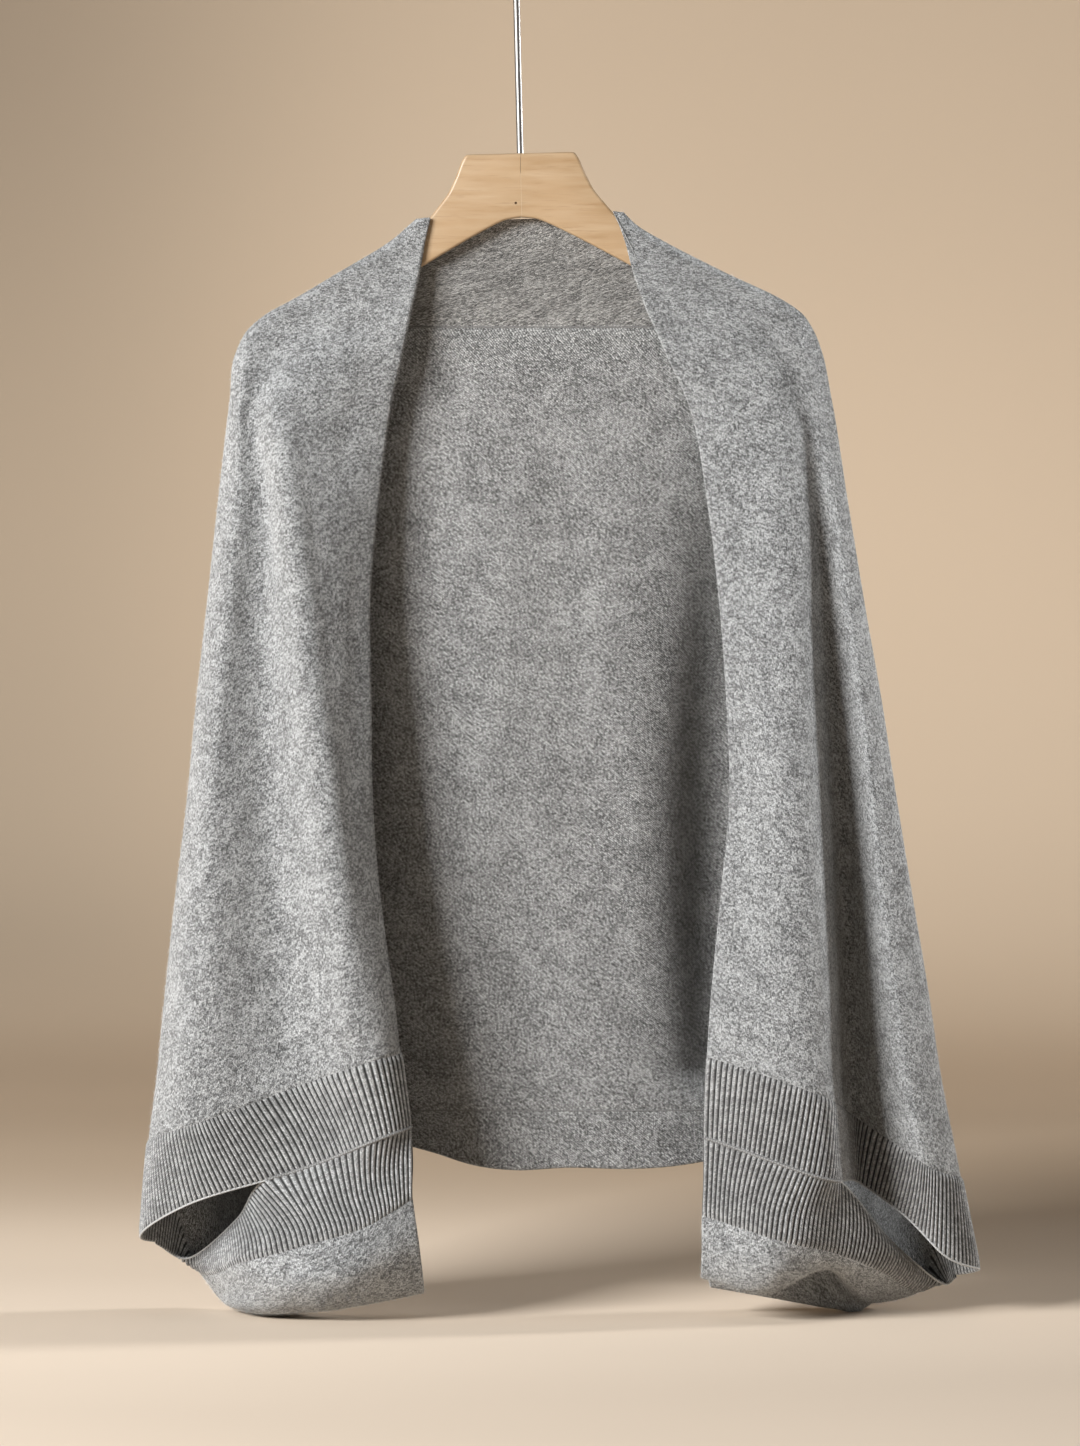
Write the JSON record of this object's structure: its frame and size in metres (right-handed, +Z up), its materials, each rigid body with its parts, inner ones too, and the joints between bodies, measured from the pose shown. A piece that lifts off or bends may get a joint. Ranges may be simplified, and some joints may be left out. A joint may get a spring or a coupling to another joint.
{
  "type": "knitted poncho sweater on a wooden hanger",
  "caption": "Open-front knitted wrap with wide turned sleeves that end in rib bands, hanging from a flat wooden hanger with a wire hook.",
  "frame": {"origin": "the seat of the hanger's hook, where it rests on its rail", "axes": "+Z up, the garment's open front faces -Y, +X is to the right seen from the front"},
  "size_m": [0.641, 0.1658, 1.0668],
  "materials": {
    "knit": "fine grey marl knit",
    "rib": "grey marl rib knit",
    "wood": "pale wood, satin lacquer",
    "steel": "polished wire"
  },
  "bodies": {
    "root": {"hook": "steel", "hanger_left": "wood", "hanger_right": "wood", "front_left": "knit", "front_right": "knit", "yoke": "knit", "back": "knit", "under_left": "knit", "under_right": "knit", "hem_band": "knit", "cuff_upper_left": "rib", "cuff_upper_right": "rib", "cuff_lower_left": "rib", "cuff_lower_right": "rib"}
  },
  "joints": []
}
